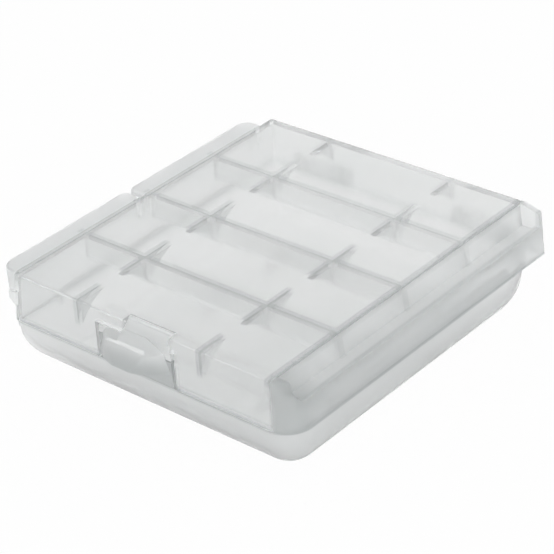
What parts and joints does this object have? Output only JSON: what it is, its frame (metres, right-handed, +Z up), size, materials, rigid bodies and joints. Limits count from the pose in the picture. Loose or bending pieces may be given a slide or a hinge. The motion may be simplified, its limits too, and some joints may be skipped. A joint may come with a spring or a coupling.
{
  "type": "hinged battery case",
  "caption": "Translucent plastic case for round cells: base tub and hinged lid with dividers and cradle ribs, a sprung finger latch in front, and coupling tongues and a ledge at its ends.",
  "frame": {"origin": "on the flat underside, below the middle of the four cell rows", "axes": "+X along the cells towards the stepped end, +Y from the latch towards the hinge, +Z up out of the lid"},
  "size_m": [0.0634, 0.0716, 0.019],
  "materials": {
    "base_plastic": "translucent polypropylene, as moulded",
    "lid_plastic": "translucent polypropylene, as moulded",
    "latch_plastic": "translucent polypropylene, as moulded"
  },
  "bodies": {
    "base": {"base": "base_plastic"},
    "lid": {"lid": "lid_plastic"},
    "latch": {"latch": "latch_plastic"}
  },
  "joints": [
    {"name": "lid_hinge", "type": "hinge", "parent": "base", "child": "lid", "pos_m": [0, 0.03423, 0.00995], "axis": [-1, 0, 0], "range_deg": [0, 180]},
    {"name": "latch_flex", "type": "hinge", "parent": "lid", "child": "latch", "pos_m": [0, -0.03042, 0.0185], "axis": [-1, 0, 0], "range_deg": [0, 10], "stiffness_Nm_per_rad": 0.05}
  ]
}
